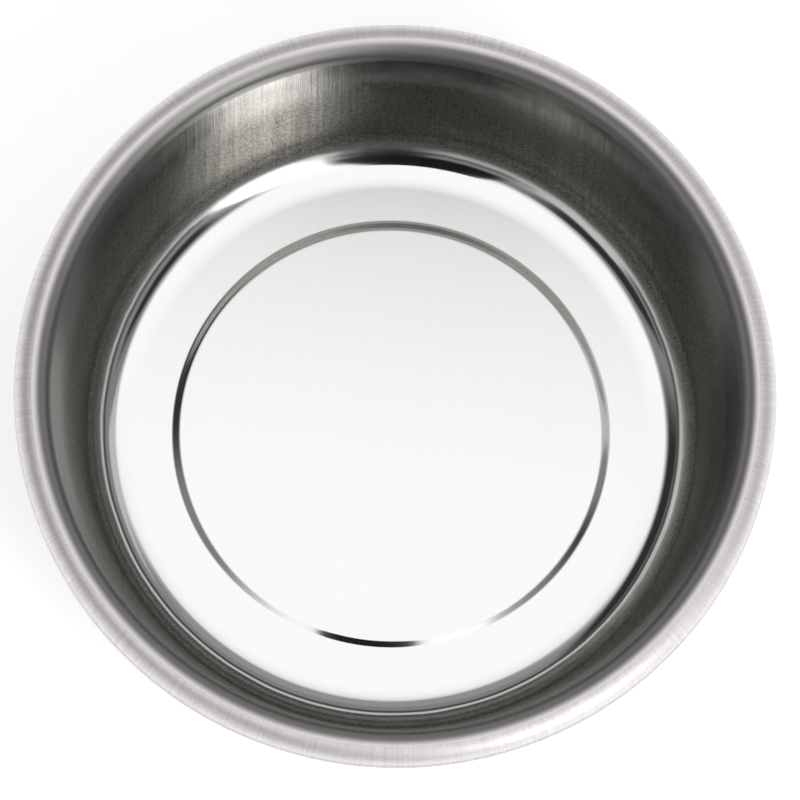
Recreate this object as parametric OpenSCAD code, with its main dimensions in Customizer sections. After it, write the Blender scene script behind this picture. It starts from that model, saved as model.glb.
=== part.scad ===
// Round magnetic parts tray: a drawn stainless bowl on a pot magnet in a rubber boot.
// Sizes are in millimetres and degrees. +Z is up, and the origin is on the table under the
// middle of the tray. Sections are drawn as [radius, height] and turned about the Z axis.

/* [Bowl] */
// Outside diameter over the rolled rim
bowl_d = 150; // [120:1:200]
// Depth from the crest of the rim to the floor
bowl_depth = 41; // [32:0.5:50]
// Thickness of the stainless sheet
sheet_t = 0.6; // [0.4:0.1:1]
// Lean of the wall away from upright
wall_lean = 11.5; // [6:0.5:18]
// Inside radius between the wall and the floor
corner_r = 7.5; // [5:0.5:12]
// Outside radius of the rolled rim
rim_r = 3.5; // [2.5:0.1:5]
// How far the rim rolls on past its crest
rim_roll = 210; // [120:5:230]

/* [Magnet seat in the floor] */
// Width of the flat floor between the raised seat and the corner's bend
floor_ring_w = 10.1; // [4:0.1:20]
// Rise of the seat above the floor around it
seat_rise = 1.2; // [0.6:0.1:1.8]
// Bend radius of the step, at the middle of the sheet
seat_bend_r = 1.2; // [1:0.1:2]

/* [Magnet cup] */
// Thickness of the cup's steel
cup_t = 1.2; // [0.8:0.1:2]
// Radial room between the cup and the step of the seat
cup_clearance = 0.3; // [0.2:0.05:0.8]
// Outside radius of the cup's shoulder
cup_shoulder_r = 2.2; // [2.1:0.1:3]
// Inside radius where the skirt turns out into the flange
cup_flange_bend_r = 0.6; // [0.4:0.1:1]
// Width of the flange beyond the skirt
cup_flange_w = 1.4; // [1.2:0.1:2.5]

/* [Ring magnet] */
// Thickness of the magnet
magnet_h = 7; // [6:0.5:12]
// Hole through the magnet, as a share of the magnet's own diameter
magnet_bore_share = 0.4135; // [0.35:0.0005:0.5]
// Resin-filled gap between the magnet and the cup's skirt
magnet_gap = 1.8; // [1:0.1:3]
// Broken edge of the magnet
magnet_chamfer = 0.5; // [0.2:0.1:0.8]
// How far the resin stops short of the flange's bend
resin_recess = 0.4; // [0.2:0.1:1]

/* [Rubber boot] */
// Thickness of rubber under the magnet
boot_base = 1.6; // [1:0.1:3]
// Thickness of rubber around the cup
boot_wall = 2; // [1.2:0.1:3]
// Radial room between the boot and the steel that it grips
boot_fit = 0.05; // [0.02:0.01:0.2]
// Room between the top of the boot and the bowl
boot_gap = 0.2; // [0.1:0.05:0.5]
// Rounding of the boot's lower edges
boot_edge_r = 0.9; // [0.3:0.1:0.9]
// Thickness of the collar that lines the magnet's hole
collar_t = 1.2; // [0.8:0.1:2]
// Height of that collar above the magnet's open face
collar_h = 3; // [1:0.5:4]

/* [Stud and nut] */
// Diameter of the welded stud
stud_d = 5; // [4:0.5:6]
// Diameter of the stud's weld flange
stud_flange_d = 9; // [8:0.5:11]
// Thickness of the weld flange
stud_flange_t = 0.7; // [0.4:0.05:0.75]
// Length of stud left beyond the nut
stud_proud = 0.8; // [0.4:0.1:1.2]
// Chamfer on the stud's end
stud_chamfer = 0.5; // [0.2:0.1:0.8]
// Radial room around the stud and its weld flange
stud_clearance = 0.2; // [0.1:0.05:0.3]
// Radial room between the nut and the stud's thread
thread_fit = 0.05; // [0.02:0.01:0.1]
// Diameter of the flat washer
washer_d = 15; // [14:0.5:18]
// Thickness of the flat washer
washer_t = 1; // [0.6:0.1:1.4]
// Diameter of the spring washer
spring_d = 9.2; // [8.5:0.1:11]
// Thickness of the spring washer
spring_t = 1.2; // [0.8:0.1:1.5]
// Width of the split in the spring washer
spring_split = 0.9; // [0.5:0.1:1.5]
// Size of the nut across its flats
nut_af = 8; // [8:0.5:10]
// Thickness of the nut
nut_h = 4; // [3:0.1:4.5]

/* [Hidden] */
$fn = 96;

// Largest angle between two neighbouring points of a bend
bend_step = 6;
// Slant of the split in the spring washer
split_slant = 30;
// Slant of the chamfers on the nut's corners
nut_slant = 30;
// Length that a cutting tool runs past the faces that it cuts
overcut = 1;

// Heights, from the table up
magnet_foot = boot_base;
cup_ceiling = magnet_foot + magnet_h;
cup_top = cup_ceiling + cup_t;
seat_top = cup_top + sheet_t;
floor_top = seat_top - seat_rise;
rim_top = floor_top + bowl_depth;
boot_top = floor_top - sheet_t - boot_gap;

// The stack that hangs on the stud, from the cup down
washer_foot = cup_ceiling - washer_t;
spring_foot = washer_foot - spring_t;
nut_foot = spring_foot - nut_h;
stud_foot = nut_foot - stud_proud;

// Centres of the bowl's two large bends. The wall is the line that touches both.
wall_angle = 90 - wall_lean;
rim_centre = [bowl_d / 2 - rim_r, rim_top - rim_r];
corner_height = floor_top + corner_r;
wall_height = rim_centre.y - corner_height;
corner_centre = [
    rim_centre.x - (wall_height * cos(wall_angle) + rim_r + corner_r) / sin(wall_angle),
    corner_height
];

// Radii of the step, the cup, the magnet and the boot
step_angle = acos(1 - seat_rise / (2 * seat_bend_r));
step_run = 2 * seat_bend_r * sin(step_angle);
seat_foot_r = corner_centre.x - floor_ring_w;
seat_edge_r = seat_foot_r - step_run;
cup_r = seat_edge_r - cup_clearance;
cup_bore_r = cup_r - cup_t;
flange_r = cup_r + cup_flange_w;
magnet_r = cup_bore_r - magnet_gap;
magnet_bore_r = magnet_bore_share * magnet_r;
boot_foot_r = flange_r + boot_fit + boot_wall;
boot_neck_r = cup_r + boot_fit + boot_wall;
collar_r = magnet_bore_r - boot_fit;
stud_hole_r = stud_d / 2 + stud_clearance;

// Unit vector out of the sheet's upper face where the section climbs at this angle
function across(angle) = [-sin(angle), cos(angle)];

// One bend of a sheet: its centre, the radius of the upper face, the angles at which the
// section comes in and goes out, and whether it starts where the bend before it ended
function bend(centre, radius, enter, leave, joined = false) =
    [centre, radius, enter, leave, joined];

// The square end of a sheet, at a point of its upper face
function sheet_end(point, angle) = bend(point, 0, angle, angle);

// Points along a bent sheet, at a depth below its upper face. A bend that turns upwards
// widens with depth, and one that turns downwards tightens.
function sheet_face(bends, depth) = [
    for (b = bends)
        let (steps = ceil(abs(b[3] - b[2]) / bend_step), turn = b[3] < b[2] ? -1 : 1)
        for (i = [b[4] ? 1 : 0 : steps])
            let (angle = b[2] + (b[3] - b[2]) * i / max(steps, 1))
            b[0] - turn * (b[1] + turn * depth) * across(angle)
];

function reversed(points) = [for (i = [len(points) - 1 : -1 : 0]) points[i]];

// A quarter round of a moulded edge, between two angles about its centre
function rounding(centre, radius, from, to) = [
    for (i = [0 : 90 / bend_step])
        let (angle = from + (to - from) * i * bend_step / 90)
        centre + radius * [cos(angle), sin(angle)]
];

// Sheet metal of even thickness, turned about the Z axis
module turned_sheet(bends, thickness) {
    rotate_extrude()
        polygon(concat(sheet_face(bends, 0), reversed(sheet_face(bends, thickness))));
}

module ring(outer_r, inner_r, foot, height) {
    translate([0, 0, foot])
        difference() {
            cylinder(r = outer_r, h = height);
            translate([0, 0, -overcut])
                cylinder(r = inner_r, h = height + 2 * overcut);
        }
}

// Stainless bowl: raised seat, floor, wall and rolled rim are one drawn sheet
module bowl() {
    half_sheet = sheet_t / 2;
    color("gainsboro")
        turned_sheet([
            sheet_end([0, seat_top], 0),
            bend([seat_edge_r, seat_top - half_sheet - seat_bend_r],
                seat_bend_r + half_sheet, 0, -step_angle),
            bend([seat_foot_r, floor_top - half_sheet + seat_bend_r],
                seat_bend_r - half_sheet, -step_angle, 0, true),
            bend(corner_centre, corner_r, 0, wall_angle),
            bend(rim_centre, rim_r, wall_angle, -rim_roll)
        ], sheet_t);
}

// Stud welded under the seat by its flange, so nothing shows inside the bowl
module weld_stud() {
    shank_r = stud_d / 2;
    color("silver")
        rotate_extrude()
            polygon([
                [0, stud_foot],
                [shank_r - stud_chamfer, stud_foot],
                [shank_r, stud_foot + stud_chamfer],
                [shank_r, cup_top - stud_flange_t],
                [stud_flange_d / 2, cup_top - stud_flange_t],
                [stud_flange_d / 2, cup_top],
                [0, cup_top]
            ]);
}

// Pressed steel cup, open downwards, with a flange that the boot snaps over
module magnet_cup() {
    skirt_bend = [cup_r - cup_shoulder_r, cup_top - cup_shoulder_r];
    flange_bend = [cup_r + cup_flange_bend_r, magnet_foot + cup_t + cup_flange_bend_r];
    color("lightsteelblue")
        turned_sheet([
            sheet_end([stud_flange_d / 2 + stud_clearance, cup_top], 0),
            bend(skirt_bend, cup_shoulder_r, 0, -90),
            bend(flange_bend, cup_flange_bend_r, -90, 0),
            sheet_end([flange_r, magnet_foot + cup_t], 0)
        ], cup_t);
}

// Ferrite ring, magnetised through its thickness
module ring_magnet() {
    color("dimgray")
        rotate_extrude()
            polygon([
                [magnet_bore_r + magnet_chamfer, magnet_foot],
                [magnet_r - magnet_chamfer, magnet_foot],
                [magnet_r, magnet_foot + magnet_chamfer],
                [magnet_r, cup_ceiling - magnet_chamfer],
                [magnet_r - magnet_chamfer, cup_ceiling],
                [magnet_bore_r + magnet_chamfer, cup_ceiling],
                [magnet_bore_r, cup_ceiling - magnet_chamfer],
                [magnet_bore_r, magnet_foot + magnet_chamfer]
            ]);
}

// Cast resin that centres the magnet in the cup. It stops below the shoulder's inside bend.
module potting_ring() {
    foot = magnet_foot + cup_t + cup_flange_bend_r + resin_recess;
    color("peru")
        ring(cup_bore_r, magnet_r, foot, cup_top - cup_shoulder_r - foot);
}

module flat_washer() {
    color("silver")
        ring(washer_d / 2, stud_hole_r, washer_foot, washer_t);
}

// Spring washer pressed flat by the nut, with its slanting split towards +X
module spring_washer() {
    color("silver")
        difference() {
            ring(spring_d / 2, stud_hole_r, spring_foot, spring_t);
            translate([spring_d / 2, 0, spring_foot + spring_t / 2])
                rotate([split_slant, 0, 0])
                    cube([spring_d, spring_split, 2 * spring_t + 2 * overcut], center = true);
        }
}

// Hexagon nut with chamfered corners
module hex_nut() {
    corner_reach = nut_af / 2 / cos(30);
    corner_drop = (corner_reach - nut_af / 2) * tan(nut_slant);
    color("silver")
        difference() {
            intersection() {
                translate([0, 0, nut_foot])
                    cylinder(r = corner_reach, h = nut_h, $fn = 6);
                rotate_extrude()
                    polygon([
                        [0, nut_foot],
                        [nut_af / 2, nut_foot],
                        [corner_reach, nut_foot + corner_drop],
                        [corner_reach, spring_foot - corner_drop],
                        [nut_af / 2, spring_foot],
                        [0, spring_foot]
                    ]);
            }
            translate([0, 0, nut_foot - overcut])
                cylinder(r = stud_d / 2 + thread_fit, h = nut_h + 2 * overcut);
        }
}

// Moulded boot: it grips the cup above its flange, covers the magnet's open face and
// lines the hole that leaves the nut in reach
module rubber_boot() {
    flange_top = magnet_foot + cup_t + boot_fit;
    throat_r = collar_r - collar_t;
    grip_r = cup_r + boot_fit;
    color("black")
        rotate_extrude()
            polygon(concat(
                rounding([throat_r + boot_edge_r, boot_edge_r], boot_edge_r, 180, 270),
                rounding([boot_foot_r - boot_edge_r, boot_edge_r], boot_edge_r, -90, 0),
                [
                    [boot_neck_r, boot_top],
                    [grip_r, boot_top],
                    [grip_r, flange_top + cup_flange_bend_r],
                    [grip_r + cup_flange_bend_r, flange_top],
                    [flange_r + boot_fit, flange_top],
                    [flange_r + boot_fit, boot_base],
                    [collar_r, boot_base],
                    [collar_r, boot_base + collar_h],
                    [throat_r, boot_base + collar_h]
                ]
            ));
}

bowl();
weld_stud();
magnet_cup();
ring_magnet();
potting_ring();
flat_washer();
spring_washer();
hex_nut();
rubber_boot();
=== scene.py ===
import math

import bmesh
import bpy
from mathutils import Matrix, Vector


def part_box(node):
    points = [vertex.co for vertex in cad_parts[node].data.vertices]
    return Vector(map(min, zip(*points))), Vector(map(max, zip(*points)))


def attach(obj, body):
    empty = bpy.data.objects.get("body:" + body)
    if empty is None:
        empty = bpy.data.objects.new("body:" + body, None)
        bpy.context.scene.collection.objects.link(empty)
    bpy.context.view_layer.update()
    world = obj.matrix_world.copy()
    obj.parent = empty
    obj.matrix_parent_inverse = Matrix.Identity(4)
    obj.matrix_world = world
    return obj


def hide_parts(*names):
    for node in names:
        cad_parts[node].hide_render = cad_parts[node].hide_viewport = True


bl_info = {
    "name": "Magnetic parts tray",
    "version": (1, 0, 0),
    "blender": (4, 5, 0),
    "location": "View3D > Sidebar > Parts tray",
    "description": "Dresses a drawn steel parts tray, its pot magnet and its rubber boot",
    "category": "Object",
}

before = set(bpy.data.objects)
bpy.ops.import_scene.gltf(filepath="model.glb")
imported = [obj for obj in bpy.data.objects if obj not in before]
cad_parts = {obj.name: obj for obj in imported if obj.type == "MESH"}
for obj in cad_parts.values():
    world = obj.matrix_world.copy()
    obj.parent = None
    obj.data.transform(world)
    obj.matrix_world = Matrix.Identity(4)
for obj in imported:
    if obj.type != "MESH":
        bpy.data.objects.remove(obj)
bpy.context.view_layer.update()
BOWL_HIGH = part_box("bowl")[1]
STUD_LOW, STUD_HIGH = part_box("weld_stud")


# Sizes and colours

def length(name, description, default):
    """A size in metres, shown with its unit."""
    return bpy.props.FloatProperty(
        name=name, description=description, default=default,
        min=0.0, precision=5, subtype="DISTANCE", unit="LENGTH")


def angle(name, description, degrees):
    """An angle, written in degrees and kept in radians."""
    return bpy.props.FloatProperty(
        name=name, description=description, default=math.radians(degrees),
        subtype="ANGLE", unit="ROTATION")


def share(name, description, default):
    """A number between nothing and all of something."""
    return bpy.props.FloatProperty(
        name=name, description=description, default=default,
        min=0.0, max=1.0, precision=3, subtype="FACTOR")


def level(name, description, default):
    """Brightness of a light source, where 1 is white."""
    return bpy.props.FloatProperty(
        name=name, description=description, default=default, min=0.0, precision=3)


def colour(name, description, default):
    """A linear colour."""
    return bpy.props.FloatVectorProperty(
        name=name, description=description, default=default,
        size=3, min=0.0, max=1.0, subtype="COLOR")


class TrayBowlSettings(bpy.types.PropertyGroup):
    """Sizes and finish of the drawn bowl, with the painted shade of its wall and roll and the painted
    sheen of its rim.
    """

    rim_radius: length("Rim radius", "From the axis to the outside of the rolled rim", BOWL_HIGH.x)
    rim_top: length("Rim height", "Crest of the rim above the table", BOWL_HIGH.z)
    depth: length("Depth", "From the crest of the rim down to the floor", 0.04017)
    sheet: length("Sheet", "Thickness of the steel", 0.0006)
    lean: angle("Lean", "Lean of the wall away from upright", 11.5)
    corner: length("Corner", "Inside radius between the wall and the floor", 0.0075)
    roll: length("Roll", "Outside radius of the rolled rim", 0.0035)
    roll_turn: angle("Roll turn", "How far the rim rolls on past its crest", 210)
    ring: length("Floor ring", "Flat floor between the raised seat and the corner", 0.0097)
    sweep: length("Sweep", "Bend radius of the gentle lift before the corner", 0.040)
    lift: angle("Lift", "Slope that the floor has where the corner takes over", 5.0)
    rise: length("Seat rise", "Height of the seat above the floor around it", 0.00037)
    dip: angle("Step slope", "Slope of the step between the seat and the floor", 13.8)
    step_bend: length("Step bend", "Bend radius of the step at the middle of the sheet", 0.0032)
    coil: angle("Coil", "Turn of the coil's grain about the axis", -6.8)
    steps: bpy.props.IntProperty(
        name="Steps", description="Faces round the bowl", default=336, min=48, max=384)
    tint: colour("Floor steel", "Colour of the polished floor", (0.652, 0.644, 0.640))
    # Painted shade: both wall colours are far darker than the floor's steel, so the wall looks dark in
    # any light
    wall_painted_shade: colour("Lower wall steel", "Colour of the stretched wall", (0.318, 0.310, 0.272))
    brow_painted_shade: colour("Upper wall steel", "Colour of the wall under the rim", (0.372, 0.364, 0.338))
    # Painted shade: the rim's inner half is darker than the floor's steel
    roll_painted_shade: colour("Roll steel", "Colour of the rim's inner half", (0.300, 0.295, 0.285))
    # Painted sheen: the buffed rim is paler than any steel, so it looks brightly lit
    lip_painted_sheen: colour("Rim steel", "Colour of the buffed rim", (0.920, 0.880, 0.885))
    skin_tint: colour("Outer steel", "Colour of the outside", (0.560, 0.548, 0.538))
    skin_gloss: share("Outer roughness", "Roughness of the outside", 0.28)
    floor_gloss: share("Floor roughness", "Roughness of the polished floor", 0.075)
    bend_gloss: share("Corner roughness", "Roughness of the bend between floor and wall", 0.20)
    wall_gloss: share("Wall roughness", "Roughness of the stretched lower wall", 0.42)
    brow_gloss: share("Upper wall roughness", "Roughness of the wall under the rim", 0.20)
    roll_gloss: share("Roll roughness", "Roughness of the rim's inner half", 0.46)
    lip_gloss: share("Rim roughness", "Roughness of the buffed rim", 0.52)


class TrayMagnetSettings(bpy.types.PropertyGroup):
    """Sizes and finish of the magnet unit under the bowl."""

    stud_foot: length("Stud foot", "Lower end of the stud above the table", STUD_LOW.z)
    stud_top: length("Stud top", "Welded face of the stud above the table", STUD_HIGH.z)
    flange: length("Weld flange", "Radius of the stud's weld flange", STUD_HIGH.x)
    flange_sheet: length("Flange thickness", "Thickness of the stud's weld flange", 0.0007)
    thread: length("Thread", "Radius of the stud over its thread", 0.0025)
    pitch: length("Pitch", "Rise of the stud's thread in one turn", 0.0008)
    chamfer: length("Chamfer", "Chamfer on the stud's end", 0.0005)
    rubber: colour("Rubber", "Colour of the boot", (0.020, 0.020, 0.021))
    zinc: colour("Zinc", "Colour of the plated nut and washers", (0.62, 0.64, 0.66))
    zinc_gloss: share("Zinc roughness", "Roughness of the plated nut and washers", 0.3)
    stud_shade: share("Stud shade", "Colour of the stud, in parts of the zinc's", 0.85)
    stud_gloss: share("Stud roughness", "Roughness of the stud", 0.34)
    cup: colour("Cup", "Colour of the pressed cup", (0.52, 0.53, 0.54))
    cup_gloss: share("Cup roughness", "Roughness of the pressed cup", 0.36)
    ferrite: colour("Ferrite", "Colour of the ring magnet", (0.045, 0.045, 0.048))
    resin: colour("Resin", "Colour of the cast resin", (0.115, 0.060, 0.024))


class TrayStageSettings(bpy.types.PropertyGroup):
    """Camera and light."""

    elevation: angle("Elevation", "Camera above the horizon", 76.55)
    tilt: angle("Tilt", "Turn of the camera about its own axis", -6.77)
    reach: length("Reach", "Distance from the camera to the tray", 1.2)
    focal: bpy.props.FloatProperty(
        name="Focal length", description="Lens on a 36 mm sensor",
        default=269.86, min=1.0, unit="CAMERA")
    aim_height: length("Aim height", "Height of the tray's middle above the table", 0.025)
    aim_right: bpy.props.FloatProperty(
        name="Aim right", description="Camera's aim to the right of the tray's middle",
        default=0.00141, precision=5, subtype="DISTANCE", unit="LENGTH")
    aim_up: bpy.props.FloatProperty(
        name="Aim up", description="Camera's aim above the tray's middle",
        default=0.0033, precision=5, subtype="DISTANCE", unit="LENGTH")
    top_light: level("Top light", "Brightness of the panel over the tray", 1.5)
    key_light: level("Key light", "Brightness of the panel in front on the right", 1.6)
    core: level("Key core", "Brightness of the key panel's core, in parts of the key light", 3.4)
    fill_light: level("Fill light", "Brightness of the panel in front on the left", 0.8)
    far_light: level("Far light", "Brightness of the panel behind the tray", 0.42)
    side_light: level("Side light", "Brightness of the panel on the right", 0.75)
    room: level("Room", "Brightness of the room around the panels", 0.32)
    gap: level("Gap", "Brightness of the dark strip between the sweep and the room", 0.08)
    horizon: level("Horizon", "Brightness of the pale sweep round the table", 0.78)
    table: share("Table", "Paleness of the table", 0.8)
    table_glow: level("Table glow", "Light that the table shows to the camera and to mirrors", 0.59)


# Nodes of a finish

# Range that holds most of a noise pattern, and its middle
NOISE_RANGE = (0.3, 0.7)
NOISE_MIDDLE = 0.5

MICRON = 0.000001
BLACK = (0.0, 0.0, 0.0)


class Finish:
    """Builds the node tree of one material on Object coordinates."""

    def __init__(self, name):
        self.material = bpy.data.materials.new(name)
        self.material.use_nodes = True
        self.tree = self.material.node_tree
        self.tree.nodes.clear()
        self.out = self.add("ShaderNodeOutputMaterial")

    def add(self, kind, inputs=None, **settings):
        """Adds a node; an input is a plain value or the output of another node."""
        node = self.tree.nodes.new(kind)
        for key, value in settings.items():
            setattr(node, key, value)
        for key, value in (inputs or {}).items():
            if isinstance(value, bpy.types.NodeSocket):
                self.tree.links.new(value, node.inputs[key])
            else:
                node.inputs[key].default_value = value
        return node

    def place(self, scale=(1.0, 1.0, 1.0), on=None):
        """Object or other coordinates, stretched."""
        if on is None:
            on = self.add("ShaderNodeTexCoord").outputs["Object"]
        mapping = self.add("ShaderNodeMapping", {"Vector": on, "Scale": scale})
        return mapping.outputs["Vector"]

    def noise(self, scale, stretch=(1.0, 1.0, 1.0), detail=2.0, roughness=0.5, on=None):
        """A noise pattern with so many features to the metre, on Object or other coordinates."""
        node = self.add(
            "ShaderNodeTexNoise",
            {"Vector": self.place(stretch, on), "Scale": scale,
             "Detail": detail, "Roughness": roughness})
        return node.outputs["Fac"]

    def turned(self, turn):
        """Object coordinates turned about the axis of the tray."""
        coords = self.add("ShaderNodeTexCoord").outputs["Object"]
        mapping = self.add("ShaderNodeMapping", {"Vector": coords, "Rotation": (0.0, 0.0, turn)})
        return mapping.outputs["Vector"]

    def vector(self, operation, *values):
        """One step of vector arithmetic, as a node."""
        return self.add("ShaderNodeVectorMath", dict(enumerate(values)), operation=operation)

    def drawn(self, climb):
        """Coordinates for marks of drawing: they run round the tray and hardly change up its wall."""
        flat = self.place((1.0, 1.0, 0.0))
        rise = self.place((0.0, 0.0, climb))
        way = self.vector("NORMALIZE", flat).outputs["Vector"]
        return self.vector("ADD", way, rise).outputs["Vector"]

    def radius(self):
        """Distance from the axis of the tray."""
        return self.vector("LENGTH", self.place((1.0, 1.0, 0.0))).outputs["Value"]

    def spread(self, value, low, high, bottom, top, smooth=False):
        """Maps a value from low and high to bottom and top."""
        node = self.add(
            "ShaderNodeMapRange",
            {"Value": value, "From Min": low, "From Max": high, "To Min": bottom, "To Max": top},
            interpolation_type="SMOOTHSTEP" if smooth else "LINEAR")
        return node.outputs["Result"]

    def zone(self, value, start, band):
        """Goes smoothly from 0 to 1 across a band that is measured from a start."""
        return self.spread(value, start + band[0], start + band[1], 0.0, 1.0, True)

    def graded(self, mask, bottom, top):
        """Goes from bottom to top as a mask goes from 0 to 1."""
        return self.spread(mask, 0.0, 1.0, bottom, top)

    def sway(self, pattern, bottom, top):
        """Spreads a noise pattern between bottom and top."""
        return self.spread(pattern, *NOISE_RANGE, bottom, top)

    def sums(self, operation, first, second):
        """One step of arithmetic."""
        node = self.add("ShaderNodeMath", {0: first, 1: second}, operation=operation)
        return node.outputs["Value"]

    def between(self, factor, first, second):
        """Mixes two colours."""
        node = self.add("ShaderNodeMix", data_type="RGBA")
        for index, value in ((0, factor), (6, first), (7, second)):
            if isinstance(value, bpy.types.NodeSocket):
                self.tree.links.new(value, node.inputs[index])
            elif index:
                node.inputs[index].default_value = (*value, 1.0)
            else:
                node.inputs[index].default_value = value
        return node.outputs[2]

    def bump(self, height, microns, under=None):
        """Relief of so many thousandths of a millimetre, laid over another relief."""
        node = self.add(
            "ShaderNodeBump", {"Height": height, "Distance": microns * MICRON, "Strength": 1.0})
        if under is not None:
            self.tree.links.new(under, node.inputs["Normal"])
        return node.outputs["Normal"]

    def surface(self, **inputs):
        """Ends the tree in a Principled shader."""
        names = {key.replace("_", " "): value for key, value in inputs.items()}
        shader = self.add("ShaderNodeBsdfPrincipled", names)
        self.tree.links.new(shader.outputs["BSDF"], self.out.inputs["Surface"])
        return self.material


def scaled(tint, factor, lift=0.0):
    """A colour made darker or paler."""
    return tuple(c * factor + lift for c in tint)


# Where the inner finish changes, and on the wall and upper wall its painted shade, in metres above the
# floor
WAVE_ZONE = (0.0004, 0.0020)
BEND_ZONE = (0.0006, 0.0020)
WALL_ZONE = (0.0016, 0.0040)
BROW_ZONE = (0.019, 0.030)

# Where the finish and the painted shade of the roll begin, in metres from the top of the rim
ROLL_ZONE = (-0.0046, -0.0030)
OUTER_ROLL_ZONE = (-0.0030, -0.0018)

# Where the buffed lip and its painted sheen begin, in metres from the radius of the rim's crest
LIP_ZONE = (-0.0018, -0.0002)
OUTER_LIP_ZONE = (-0.0012, 0.0004)

# The coil's grain: lines to the metre across and along it, and where it shows, as the share of a
# point's radius that lies along the grain
COIL_LINES = (1500.0, 30.0, 30.0)
COIL_ZONE = (0.25, 0.65)

# Shares of the wall's marks and relief that the rim, the upper wall and the floor still have
RIM_WEAR = 0.12
BROW_FLECKS = 0.3
BROW_PITS = 0.25
FLOOR_MARKS = 0.04
FLOOR_RELIEF = 0.02


def drawn_steel(s):
    """Inside of the bowl: polished floor, satin wall with painted shade, buffed rim with painted sheen
    over a roll with painted shade, and the straight grain of the coil.
    """
    f = Finish("drawn_stainless")
    height = f.add("ShaderNodeSeparateXYZ", {"Vector": f.place()}).outputs["Z"]
    floor = s.rim_top - s.depth
    bend = f.zone(height, floor, BEND_ZONE)
    wall = f.zone(height, floor, WALL_ZONE)
    brow = f.zone(height, floor, BROW_ZONE)
    roll = f.zone(height, s.rim_top, ROLL_ZONE)
    lip = f.zone(f.radius(), s.rim_radius - s.roll, LIP_ZONE)
    worn = f.sums("MULTIPLY", wall, f.graded(roll, 1.0, RIM_WEAR))

    coil = f.turned(s.coil)
    along = f.add("ShaderNodeSeparateXYZ", {"Vector": coil}).outputs["Y"]
    along = f.sums("DIVIDE", f.sums("ABSOLUTE", along, 0.0), f.radius())
    grain = f.sums("SUBTRACT", f.noise(1.0, COIL_LINES, 4.0, 0.65, coil), NOISE_MIDDLE)
    grain = f.sums("MULTIPLY", grain, f.zone(along, 0.0, COIL_ZONE))
    grain = f.sums("ADD", grain, NOISE_MIDDLE)
    speckle = f.noise(2000.0, detail=2.0)
    cloud = f.noise(60.0, detail=3.0)
    waves = f.noise(130.0, detail=1.0)

    rough = f.graded(bend, s.floor_gloss, s.bend_gloss)
    below = s.bend_gloss
    for mask, gloss in ((wall, s.wall_gloss), (brow, s.brow_gloss),
                        (roll, s.roll_gloss), (lip, s.lip_gloss)):
        rough = f.sums("ADD", rough, f.graded(mask, 0.0, gloss - below))
        below = gloss
    rough = f.sums("ADD", rough, f.sums("MULTIPLY", f.sway(grain, -0.05, 0.05), worn))
    rough = f.sums("ADD", rough, f.sway(cloud, -0.012, 0.012))

    # Painted shade and sheen: the wall, upper wall and rim's inner half are darker than the floor's
    # steel, and the rim paler
    tone = f.between(wall, s.tint, s.wall_painted_shade)
    for mask, tint in ((brow, s.brow_painted_shade), (roll, s.roll_painted_shade), (lip, s.lip_painted_sheen)):
        tone = f.between(mask, tone, tint)
    flecks = f.spread(speckle, 0.35, 0.65, 0.0, 0.5)
    flecks = f.sums("MULTIPLY", flecks, f.graded(brow, 1.0, BROW_FLECKS))
    marks = f.sums("ADD", f.sway(grain, 0.0, 0.2), flecks)
    marks = f.sums("MULTIPLY", marks, f.sums("MAXIMUM", worn, FLOOR_MARKS))
    tone = f.between(marks, tone, BLACK)

    lines = f.sums("MULTIPLY", grain, f.sums("MAXIMUM", worn, FLOOR_RELIEF))
    pits = f.sums("MULTIPLY", worn, f.graded(brow, 1.0, BROW_PITS))
    pits = f.sums("MULTIPLY", speckle, f.sums("MAXIMUM", pits, FLOOR_RELIEF))
    low, high = (floor + limit for limit in WAVE_ZONE)
    waves = f.sums("MULTIPLY", waves, f.spread(height, low, high, 0.0, 1.0))
    relief = f.bump(pits, 10, f.bump(lines, 30, f.bump(waves, 120)))
    return f.surface(Base_Color=tone, Metallic=1.0, Roughness=rough, Normal=relief)


def outer_steel(s):
    """Outside of the bowl: even satin sheet with upright marks of drawing, and the buffed rim with
    painted sheen and, inside its crest, painted shade.
    """
    f = Finish("outer_stainless")
    height = f.add("ShaderNodeSeparateXYZ", {"Vector": f.place()}).outputs["Z"]
    roll = f.zone(height, s.rim_top, OUTER_ROLL_ZONE)
    lip = f.zone(f.radius(), s.rim_radius - s.roll, OUTER_LIP_ZONE)
    grain = f.noise(150.0, detail=3.0, roughness=0.6, on=f.drawn(0.3))
    speckle = f.noise(2400.0, detail=2.0)
    cloud = f.noise(45.0, detail=4.0)
    marks = f.sums("ADD", f.sway(grain, 0.0, 0.12), f.sway(speckle, 0.0, 0.1))
    # Painted sheen on the rim, and painted shade where it turns in from its crest
    tone = f.between(roll, s.skin_tint, f.between(lip, s.roll_painted_shade, s.lip_painted_sheen))
    tone = f.between(marks, tone, BLACK)
    rough = f.graded(roll, s.skin_gloss, s.lip_gloss)
    rough = f.sums("ADD", rough, f.sway(grain, -0.03, 0.03))
    rough = f.sums("ADD", rough, f.sway(cloud, -0.03, 0.03))
    relief = f.bump(speckle, 12, f.bump(grain, 18))
    return f.surface(Base_Color=tone, Metallic=1.0, Roughness=rough, Normal=relief)


# Marks to the metre on steel that was turned and on steel that was pressed
TURNED_MARKS = (300.0, 300.0, 5200.0)
PRESSED_MARKS = (2400.0, 2400.0, 300.0)


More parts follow.
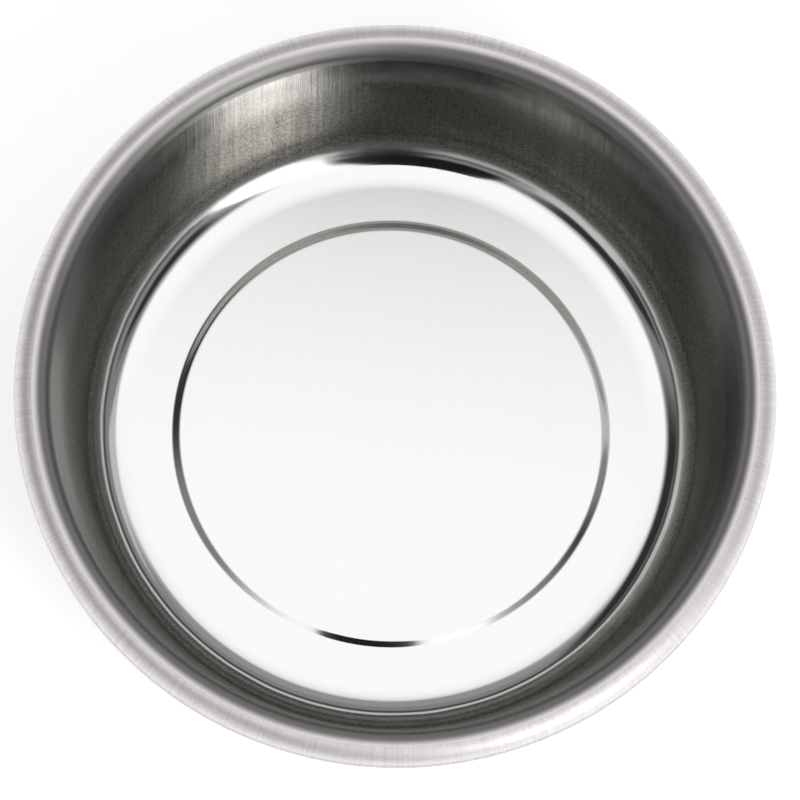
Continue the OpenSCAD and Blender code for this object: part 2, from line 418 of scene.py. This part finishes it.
def plated(name, tint, gloss, stretch):
    """Plated or pressed steel with the marks of its making."""
    f = Finish(name)
    cloud = f.noise(420.0, detail=4.0)
    marks = f.noise(1.0, stretch)
    tone = f.between(f.spread(cloud, 0.35, 0.7, 0.0, 1.0), tint, scaled(tint, 0.72))
    rough = f.sway(cloud, gloss - 0.06, gloss + 0.1)
    rough = f.sums("ADD", rough, f.sway(marks, -0.03, 0.03))
    return f.surface(Base_Color=tone, Metallic=1.0, Roughness=rough, Normal=f.bump(marks, 6))


def moulded_rubber(tint):
    """Black rubber with a fine moulded skin and a little bloom."""
    f = Finish("moulded_rubber")
    skin = f.noise(1900.0, detail=3.0, roughness=0.6)
    bloom = f.noise(95.0, detail=4.0)
    tone = f.between(f.spread(bloom, 0.42, 0.75, 0.0, 0.8), tint, scaled(tint, 1.9, 0.004))
    rough = f.sums("ADD", f.sway(bloom, 0.56, 0.7), f.sway(skin, -0.06, 0.06))
    return f.surface(Base_Color=tone, Roughness=rough, Normal=f.bump(skin, 30))


def sintered_ferrite(tint):
    """Ground ferrite: a dull dark ceramic with pale pores."""
    f = Finish("sintered_ferrite")
    pores = f.noise(2600.0, detail=2.0)
    grind = f.noise(1.0, (2200.0, 120.0, 120.0))
    tone = f.between(f.spread(pores, 0.6, 0.75, 0.0, 1.0), tint, scaled(tint, 2.2))
    return f.surface(
        Base_Color=tone, Roughness=f.sway(grind, 0.48, 0.66), Normal=f.bump(pores, 10))


def cast_resin(tint):
    """Amber resin, poured and set, with a wavy skin."""
    f = Finish("cast_resin")
    flow = f.noise(140.0, detail=3.0)
    specks = f.noise(1500.0, detail=1.0)
    tone = f.between(f.spread(flow, 0.35, 0.7, 0.0, 1.0), tint, scaled(tint, 0.55))
    return f.surface(
        Base_Color=tone, Roughness=f.sway(specks, 0.14, 0.26), Normal=f.bump(flow, 120))


# Shaping

# Points nearer than this become one
MERGE = 0.000001

# An edge that bends more than this stays sharp
SHARP = math.radians(32)

# From a bend to the extra ring of points that keeps a straight run straight
GUARD = 0.0003


class Section:
    """A pen that draws a section in the XZ plane and turns it about the Z axis."""

    def __init__(self, x, z):
        self.bm = bmesh.new()
        self.tip = self.bm.verts.new((x, 0.0, z))

    def line(self, x, z, guard=0.0):
        """Draws a straight edge; a guard is a point that far from each end."""
        start, end = self.tip.co.copy(), Vector((x, 0.0, z))
        run = (end - start).normalized() * guard
        for point in ((start + run, end - run, end) if guard else (end,)):
            made = bmesh.ops.extrude_vert_indiv(self.bm, verts=[self.tip])
            self.tip = made["verts"][0]
            self.tip.co = point

    def arc(self, x, z, turn, steps):
        """Carries the tip round a centre; a turn to the left is positive."""
        made = bmesh.ops.spin(
            self.bm, geom=[self.tip], cent=(x, 0.0, z), axis=(0.0, 1.0, 0.0),
            angle=-turn, steps=steps, use_duplicate=False)
        self.tip = next(g for g in made["geom_last"] if isinstance(g, bmesh.types.BMVert))

    def turned(self, steps):
        """Spins the section into a closed solid."""
        bm = self.bm
        bmesh.ops.spin(
            bm, geom=bm.verts[:] + bm.edges[:], cent=(0.0, 0.0, 0.0), axis=(0.0, 0.0, 1.0),
            angle=math.tau, steps=steps, use_merge=True, use_duplicate=False)
        bmesh.ops.remove_doubles(bm, verts=bm.verts, dist=MERGE)
        bmesh.ops.recalc_face_normals(bm, faces=bm.faces)
        return bm


# The rolled thread: faces in a turn, depth in parts of the pitch, and the points of its section,
# which stand on the crest or at the root and climb by a share of the pitch
THREAD_FACES = 40
THREAD_DEPTH = 0.61
THREAD_FORM = ((False, 0.25), (True, 0.5625), (True, 0.6875), (False, 1.0))


def threaded_rod(crest, pitch, low, high, chamfer):
    """A rod with a rolled thread: a V section carried round in a helix, cut off and closed."""
    root = crest - THREAD_DEPTH * pitch
    turns = math.ceil((high - low) / pitch) + 2
    bm = bmesh.new()
    tip = bm.verts.new((root, 0.0, low - pitch))
    for on_crest, climb in THREAD_FORM:
        tip = bmesh.ops.extrude_vert_indiv(bm, verts=[tip])["verts"][0]
        tip.co = (crest if on_crest else root, 0.0, low - pitch + climb * pitch)
    bmesh.ops.spin(
        bm, geom=bm.verts[:] + bm.edges[:], cent=(0.0, 0.0, 0.0), axis=(0.0, 0.0, 1.0),
        dvec=(0.0, 0.0, pitch / THREAD_FACES), angle=math.tau * turns,
        steps=THREAD_FACES * turns, use_duplicate=False)
    bmesh.ops.remove_doubles(bm, verts=bm.verts, dist=2 * MERGE)
    for level_z, side in ((low, -1.0), (high, 1.0)):
        bmesh.ops.bisect_plane(
            bm, geom=bm.verts[:] + bm.edges[:] + bm.faces[:], dist=MERGE,
            plane_co=(0.0, 0.0, level_z), plane_no=(0.0, 0.0, side), clear_outer=True)
    for vert in bm.verts:
        reach = math.hypot(vert.co.x, vert.co.y)
        limit = crest - chamfer + vert.co.z - low
        if reach > limit:
            vert.co.x *= limit / reach
            vert.co.y *= limit / reach
    bmesh.ops.holes_fill(bm, edges=bm.edges[:], sides=0)
    bmesh.ops.recalc_face_normals(bm, faces=bm.faces)
    return bm


def joined(first, second):
    """Puts a second bmesh into the first."""
    mesh = bpy.data.meshes.new("joined")
    second.to_mesh(mesh)
    second.free()
    first.from_mesh(mesh)
    bpy.data.meshes.remove(mesh)
    return first


def piece(name, bm, materials, node):
    """Makes a finished object of a bmesh that stands for a CAD node."""
    for face in bm.faces:
        face.smooth = True
    for edge in bm.edges:
        edge.smooth = edge.is_manifold and edge.calc_face_angle() < SHARP
    mesh = bpy.data.meshes.new(name)
    bm.to_mesh(mesh)
    bm.free()
    for material in materials:
        mesh.materials.append(material)
    made = bpy.data.objects.new(name, mesh)
    bpy.context.scene.collection.objects.link(made)
    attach(made, "root")
    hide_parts(node)


def dress(node, material):
    """Gives a CAD node a better material."""
    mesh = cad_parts[node].data
    mesh.materials.clear()
    mesh.materials.append(material)


# Pieces

# Edges in each bend of the bowl's section, on the face that is seen and on its back
FRONT_EDGES = {"step": 8, "sweep": 6, "corner": 28, "roll": 66}
BACK_EDGES = {"step": 6, "corner": 20, "roll": 50}

# A face of the bowl takes the outer finish if its normal leans out or down by more than this
LEANS_OUT = 0.02
LEANS_DOWN = 0.5


class TRAY_OT_bowl(bpy.types.Operator):
    """Turn the drawn bowl: seat, floor, corner, wall and rolled rim in one sheet"""

    bl_idname = "tray.bowl"
    bl_label = "Drawn bowl"
    bl_options = {"REGISTER", "UNDO"}

    def execute(self, context):
        s = context.scene.tray_bowl
        t = s.sheet
        floor = s.rim_top - s.depth
        seat = floor + s.rise
        climb = math.pi / 2 - s.lean
        rim_x, rim_z = s.rim_radius - s.roll, s.rim_top - s.roll
        corner_z = floor + s.corner
        wall_run = (rim_z - corner_z) * math.cos(climb) + s.roll + s.corner
        corner_x = rim_x - wall_run / math.sin(climb)
        fall, run = math.sin(s.dip), math.cos(s.dip)
        ramp = (s.rise - 2 * s.step_bend * (1 - run)) / fall
        foot_x = corner_x - s.ring
        edge_x = foot_x - 2 * s.step_bend * fall - ramp * run
        edge_z = seat - t / 2 - s.step_bend
        foot_z = floor - t / 2 + s.step_bend
        turn = climb + s.roll_turn
        raised = (s.sweep - s.corner) * (1 - math.cos(s.lift))
        bend_x, bend_z = corner_x + raised / math.tan(climb), corner_z + raised
        sweep_x = bend_x - (s.sweep - s.corner) * math.sin(s.lift)
        out_x, out_z = -math.sin(climb), math.cos(climb)

        # The face that is seen, from the axis to the end of the roll
        pen = Section(0.0, seat)
        pen.line(edge_x, seat, GUARD)
        pen.arc(edge_x, edge_z, -s.dip, FRONT_EDGES["step"])
        pen.line(pen.tip.co.x + ramp * run, pen.tip.co.z - ramp * fall)
        pen.arc(foot_x, foot_z, s.dip, FRONT_EDGES["step"])
        pen.line(sweep_x, floor, GUARD)
        pen.arc(sweep_x, floor + s.sweep, s.lift, FRONT_EDGES["sweep"])
        pen.arc(bend_x, bend_z, climb - s.lift, FRONT_EDGES["corner"])
        pen.line(rim_x + s.roll * out_x, rim_z + s.roll * out_z, GUARD)
        pen.arc(rim_x, rim_z, -turn, FRONT_EDGES["roll"])

        # The back, from the end of the roll to the axis
        inner = 1 - t / s.roll
        tip = pen.tip.co
        pen.line(rim_x + (tip.x - rim_x) * inner, rim_z + (tip.z - rim_z) * inner)
        pen.arc(rim_x, rim_z, turn, BACK_EDGES["roll"])
        pen.line(corner_x - (s.corner + t) * out_x, corner_z - (s.corner + t) * out_z, GUARD)
        pen.arc(corner_x, corner_z, -climb, BACK_EDGES["corner"])
        pen.line(foot_x, floor - t, GUARD)
        pen.arc(foot_x, foot_z, -s.dip, BACK_EDGES["step"])
        pen.line(pen.tip.co.x - ramp * run, pen.tip.co.z + ramp * fall)
        pen.arc(edge_x, edge_z, s.dip, BACK_EDGES["step"])
        pen.line(0.0, seat - t, GUARD)

        bm = pen.turned(s.steps)
        for face in bm.faces:
            middle = face.calc_center_median()
            away = Vector((middle.x, middle.y, 0.0))
            outward = away.length > corner_x and face.normal.dot(away.normalized()) > LEANS_OUT
            under = middle.z < rim_z and face.normal.z < -LEANS_DOWN
            face.material_index = 1 if outward or under else 0
        piece("bowl_sheet", bm, (drawn_steel(s), outer_steel(s)), "bowl")
        return {"FINISHED"}


class TRAY_OT_magnet(bpy.types.Operator):
    """Finish the pot magnet: cup, ferrite ring and cast resin"""

    bl_idname = "tray.magnet"
    bl_label = "Pot magnet"
    bl_options = {"REGISTER", "UNDO"}

    def execute(self, context):
        s = context.scene.tray_magnet
        dress("magnet_cup", plated("pressed_cup_steel", s.cup, s.cup_gloss, PRESSED_MARKS))
        dress("ring_magnet", sintered_ferrite(s.ferrite))
        dress("potting_ring", cast_resin(s.resin))
        return {"FINISHED"}


# Broken edge of the stud's weld flange, and the faces round it
FLANGE_EDGE = 0.00012
FLANGE_FACES = 72


class TRAY_OT_fasteners(bpy.types.Operator):
    """Finish the stud, washers and nut"""

    bl_idname = "tray.fasteners"
    bl_label = "Stud, washers and nut"
    bl_options = {"REGISTER", "UNDO"}

    def execute(self, context):
        s = context.scene.tray_magnet
        zinc = plated("zinc_plate", s.zinc, s.zinc_gloss, TURNED_MARKS)
        for node in ("flat_washer", "spring_washer", "hex_nut"):
            dress(node, zinc)
        seat = s.stud_top - s.flange_sheet
        pen = Section(0.0, s.stud_top)
        pen.line(s.flange - FLANGE_EDGE, s.stud_top)
        pen.line(s.flange, s.stud_top - FLANGE_EDGE)
        pen.line(s.flange, seat + FLANGE_EDGE)
        pen.line(s.flange - FLANGE_EDGE, seat)
        pen.line(0.0, seat)
        rod_top = seat + s.flange_sheet / 3
        rod = threaded_rod(s.thread, s.pitch, s.stud_foot, rod_top, s.chamfer)
        stud = joined(pen.turned(FLANGE_FACES), rod)
        tint = scaled(s.zinc, s.stud_shade)
        steel = plated("stud_steel", tint, s.stud_gloss, TURNED_MARKS)
        piece("threaded_stud", stud, (steel,), "weld_stud")
        return {"FINISHED"}


class TRAY_OT_boot(bpy.types.Operator):
    """Finish the rubber boot under the tray"""

    bl_idname = "tray.boot"
    bl_label = "Rubber boot"
    bl_options = {"REGISTER", "UNDO"}

    def execute(self, context):
        s = context.scene.tray_magnet
        dress("rubber_boot", moulded_rubber(s.rubber))
        return {"FINISHED"}


# Stage

# Light that the black cards still give
FLAG_GLOW = 0.01
SHADE_GLOW = 0.04

# Distances in metres at which the key panel's core and the black cards hang, before the panels
CORE_REACH = 0.80
BLACK_REACH = 0.95

# Elevations in degrees between which the pale sweep ends and the room begins
SWEEP_END = (23, 27)
ROOM_START = (31, 36)

WHITE = (1.0, 1.0, 1.0, 1.0)


def heading(azimuth, elevation, reach):
    """A point round the tray, by its heading in degrees and its distance."""
    a, e = math.radians(azimuth), math.radians(elevation)
    return Vector((math.cos(e) * math.cos(a), math.cos(e) * math.sin(a), math.sin(e))) * reach


def glow(name, strength, soft):
    """An even light, or next to none for a black card, that fades towards the edges of its card."""
    f = Finish(name)
    uv = f.add("ShaderNodeUVMap", uv_map="card")
    split = f.add("ShaderNodeSeparateXYZ", {"Vector": uv.outputs["UV"]})
    sides = []
    for axis in ("X", "Y"):
        across = split.outputs[axis]
        edge = f.sums("MINIMUM", across, f.sums("SUBTRACT", 1.0, across))
        sides.append(f.spread(edge, 0.0, soft, 0.0, 1.0, True))
    fade = f.sums("MULTIPLY", *sides)
    light = f.add("ShaderNodeEmission", {"Color": WHITE, "Strength": strength})
    clear = f.add("ShaderNodeBsdfTransparent")
    both = f.add(
        "ShaderNodeMixShader", {0: fade, 1: clear.outputs["BSDF"], 2: light.outputs["Emission"]})
    f.tree.links.new(both.outputs["Shader"], f.out.inputs["Surface"])
    return f.material


def card(name, corners, material):
    """A flat card of the stage, which lights or shades the tray and isn't seen by the camera."""
    bm = bmesh.new()
    face = bm.faces.new([bm.verts.new(c) for c in corners])
    layer = bm.loops.layers.uv.new("card")
    for loop, place in zip(face.loops, ((0, 0), (1, 0), (1, 1), (0, 1))):
        loop[layer].uv = place
    mesh = bpy.data.meshes.new(name)
    bm.to_mesh(mesh)
    bm.free()
    mesh.materials.append(material)
    made = bpy.data.objects.new(name, mesh)
    bpy.context.scene.collection.objects.link(made)
    made.visible_camera = False
    made.visible_shadow = False


def overhead(left, right, near, far, height):
    """Corners of a level card over the tray."""
    return ((left, near, height), (right, near, height), (right, far, height), (left, far, height))


def slanted(azimuth, half, low, high, reach=1.0):
    """Corners of a card that leans over the tray, by heading, half width and elevations in degrees."""
    return [
        heading(azimuth - half, low, reach), heading(azimuth + half, low, reach),
        heading(azimuth + half, high, reach), heading(azimuth - half, high, reach)]


def table_finish(s):
    """Matt white table: white to the eye and to reflections, and shaded by the tray."""
    f = Finish("white_table")
    path = f.add("ShaderNodeLightPath")
    seen = f.sums("MAXIMUM", path.outputs["Is Camera Ray"], path.outputs["Is Glossy Ray"])
    seen = f.sums("MAXIMUM", seen, path.outputs["Is Transmission Ray"])
    paint = f.add("ShaderNodeBsdfDiffuse", {"Color": (s.table, s.table, s.table, 1.0)})
    white = f.add("ShaderNodeEmission", {"Strength": f.sums("MULTIPLY", seen, s.table_glow)})
    both = f.add("ShaderNodeAddShader", {0: paint.outputs["BSDF"], 1: white.outputs["Emission"]})
    f.tree.links.new(both.outputs["Shader"], f.out.inputs["Surface"])
    return f.material


class TRAY_OT_stage(bpy.types.Operator):
    """Set the table, the light panels and the camera"""

    bl_idname = "tray.stage"
    bl_label = "Table, light and camera"
    bl_options = {"REGISTER", "UNDO"}

    def execute(self, context):
        s = context.scene.tray_stage
        scene = context.scene
        scene.view_settings.view_transform = "Standard"
        self.table(s)
        self.panels(s)
        self.room(scene, s)
        self.camera(scene, s)
        return {"FINISHED"}

    def table(self, s):
        """Lays the round white table."""
        bm = bmesh.new()
        bmesh.ops.create_circle(bm, cap_ends=True, segments=96, radius=4.0)
        mesh = bpy.data.meshes.new("table")
        bm.to_mesh(mesh)
        bm.free()
        mesh.materials.append(table_finish(s))
        made = bpy.data.objects.new("table", mesh)
        bpy.context.scene.collection.objects.link(made)

    def panels(self, s):
        """Hangs the light panels, and the black cards that the steel mirrors as dark zones."""
        top = glow("top_panel_light", s.top_light, 0.3)
        card("top_panel", overhead(-0.42, 0.44, -0.62, 0.55, 1.0), top)
        core = s.key_light * s.core

        # Name, brightness, share of the card over which it fades, and corners
        for name, strength, soft, corners in (
                ("key_panel", s.key_light, 0.08, slanted(-48, 15, 12, 80)),
                ("key_core", core, 0.2, slanted(-47, 13, 24, 64, CORE_REACH)),
                ("fill_panel", s.fill_light, 0.2, slanted(-134, 20, 12, 50)),
                ("far_panel", s.far_light, 0.25, slanted(92, 34, 42, 70)),
                ("side_panel", s.side_light, 0.25, slanted(42, 18, 44, 70))):
            card(name, corners, glow(name + "_light", strength, soft))

        # Name, finish, and heading, half width and elevations in degrees
        flag = glow("flag_black", FLAG_GLOW, 0.04)
        shade = glow("shade_black", SHADE_GLOW, 0.25)
        for name, black, place in (
                ("flag", flag, (-89, 24, 45, 79)),
                ("flag_body", flag, (-90, 18, 44, 58)),
                ("flag_stem", flag, (-80, 11, 5, 56)),
                ("left_shade", shade, (150, 32, 30, 64)),
                ("right_shade", shade, (-6, 24, 44, 64)),
                ("front_shade", shade, (-146, 30, 36, 64))):
            card(name, slanted(*place, BLACK_REACH), black)

    def room(self, scene, s):
        """Makes the room: a pale sweep low down, a dark gap and a dim ceiling, white to the camera."""
        world = bpy.data.worlds.new("studio")
        scene.world = world
        world.use_nodes = True
        tree = world.node_tree
        tree.nodes.clear()
        out = tree.nodes.new("ShaderNodeOutputWorld")
        back = tree.nodes.new("ShaderNodeBackground")
        path = tree.nodes.new("ShaderNodeLightPath")
        coords = tree.nodes.new("ShaderNodeTexCoord")
        split = tree.nodes.new("ShaderNodeSeparateXYZ")
        levels = []
        for (low, high), bottom, top in ((SWEEP_END, s.horizon, s.gap),
                                         (ROOM_START, 0.0, s.room - s.gap)):
            fade = tree.nodes.new("ShaderNodeMapRange")
            fade.interpolation_type = "SMOOTHSTEP"
            fade.inputs["From Min"].default_value = math.sin(math.radians(low))
            fade.inputs["From Max"].default_value = math.sin(math.radians(high))
            fade.inputs["To Min"].default_value = bottom
            fade.inputs["To Max"].default_value = top
            tree.links.new(split.outputs["Z"], fade.inputs["Value"])
            levels.append(fade.outputs["Result"])
        both = tree.nodes.new("ShaderNodeMath")
        for socket, value in zip(both.inputs, levels):
            tree.links.new(value, socket)
        mix = tree.nodes.new("ShaderNodeMix")
        mix.inputs[3].default_value = 1.0
        tree.links.new(coords.outputs["Generated"], split.inputs["Vector"])
        tree.links.new(path.outputs["Is Camera Ray"], mix.inputs[0])
        tree.links.new(both.outputs["Value"], mix.inputs[2])
        tree.links.new(mix.outputs[0], back.inputs["Strength"])
        back.inputs["Color"].default_value = WHITE
        tree.links.new(back.outputs["Background"], out.inputs["Surface"])

    def camera(self, scene, s):
        """Sets the camera at the angle and with the tilt of the photograph."""
        back = Vector((0.0, -math.cos(s.elevation), math.sin(s.elevation)))
        right = Vector((1.0, 0.0, 0.0))
        up = back.cross(right)
        c, d = math.cos(s.tilt), math.sin(s.tilt)
        right, up = right * c - up * d, right * d + up * c
        aim = Vector((0.0, 0.0, s.aim_height)) + right * s.aim_right + up * s.aim_up
        data = bpy.data.cameras.new("camera")
        data.sensor_width = 36.0
        data.lens = s.focal
        data.clip_start = 0.01
        data.clip_end = 20.0
        made = bpy.data.objects.new("camera", data)
        scene.collection.objects.link(made)
        turn = Matrix((right, up, back)).transposed().to_4x4()
        made.matrix_world = Matrix.Translation(aim + back * s.reach) @ turn
        scene.camera = made


class TRAY_PT_panel(bpy.types.Panel):
    """Lists the tray's settings and the steps that make it"""

    bl_idname = "TRAY_PT_panel"
    bl_label = "Parts tray"
    bl_space_type = "VIEW_3D"
    bl_region_type = "UI"
    bl_category = "Parts tray"

    def draw(self, context):
        scene = context.scene
        for title, group in (("Bowl", scene.tray_bowl), ("Magnet unit", scene.tray_magnet),
                             ("Stage", scene.tray_stage)):
            box = self.layout.box()
            box.label(text=title)
            for key in group.__annotations__:
                box.prop(group, key)
        for step in OPERATORS:
            self.layout.operator(step.bl_idname)


GROUPS = (TrayBowlSettings, TrayMagnetSettings, TrayStageSettings)
OPERATORS = (TRAY_OT_bowl, TRAY_OT_magnet, TRAY_OT_fasteners, TRAY_OT_boot, TRAY_OT_stage)
CLASSES = GROUPS + OPERATORS + (TRAY_PT_panel,)


def register():
    """Registers the classes and hangs their settings on the scene."""
    for cls in CLASSES:
        bpy.utils.register_class(cls)
    bpy.types.Scene.tray_bowl = bpy.props.PointerProperty(type=TrayBowlSettings)
    bpy.types.Scene.tray_magnet = bpy.props.PointerProperty(type=TrayMagnetSettings)
    bpy.types.Scene.tray_stage = bpy.props.PointerProperty(type=TrayStageSettings)


def unregister():
    """Takes the settings and the classes away again."""
    del bpy.types.Scene.tray_stage
    del bpy.types.Scene.tray_magnet
    del bpy.types.Scene.tray_bowl
    for cls in reversed(CLASSES):
        bpy.utils.unregister_class(cls)


def main():
    """Makes the pieces and the stage."""
    register()
    bpy.ops.tray.bowl()
    bpy.ops.tray.magnet()
    bpy.ops.tray.fasteners()
    bpy.ops.tray.boot()
    bpy.ops.tray.stage()


if __name__ == "__main__":
    main()
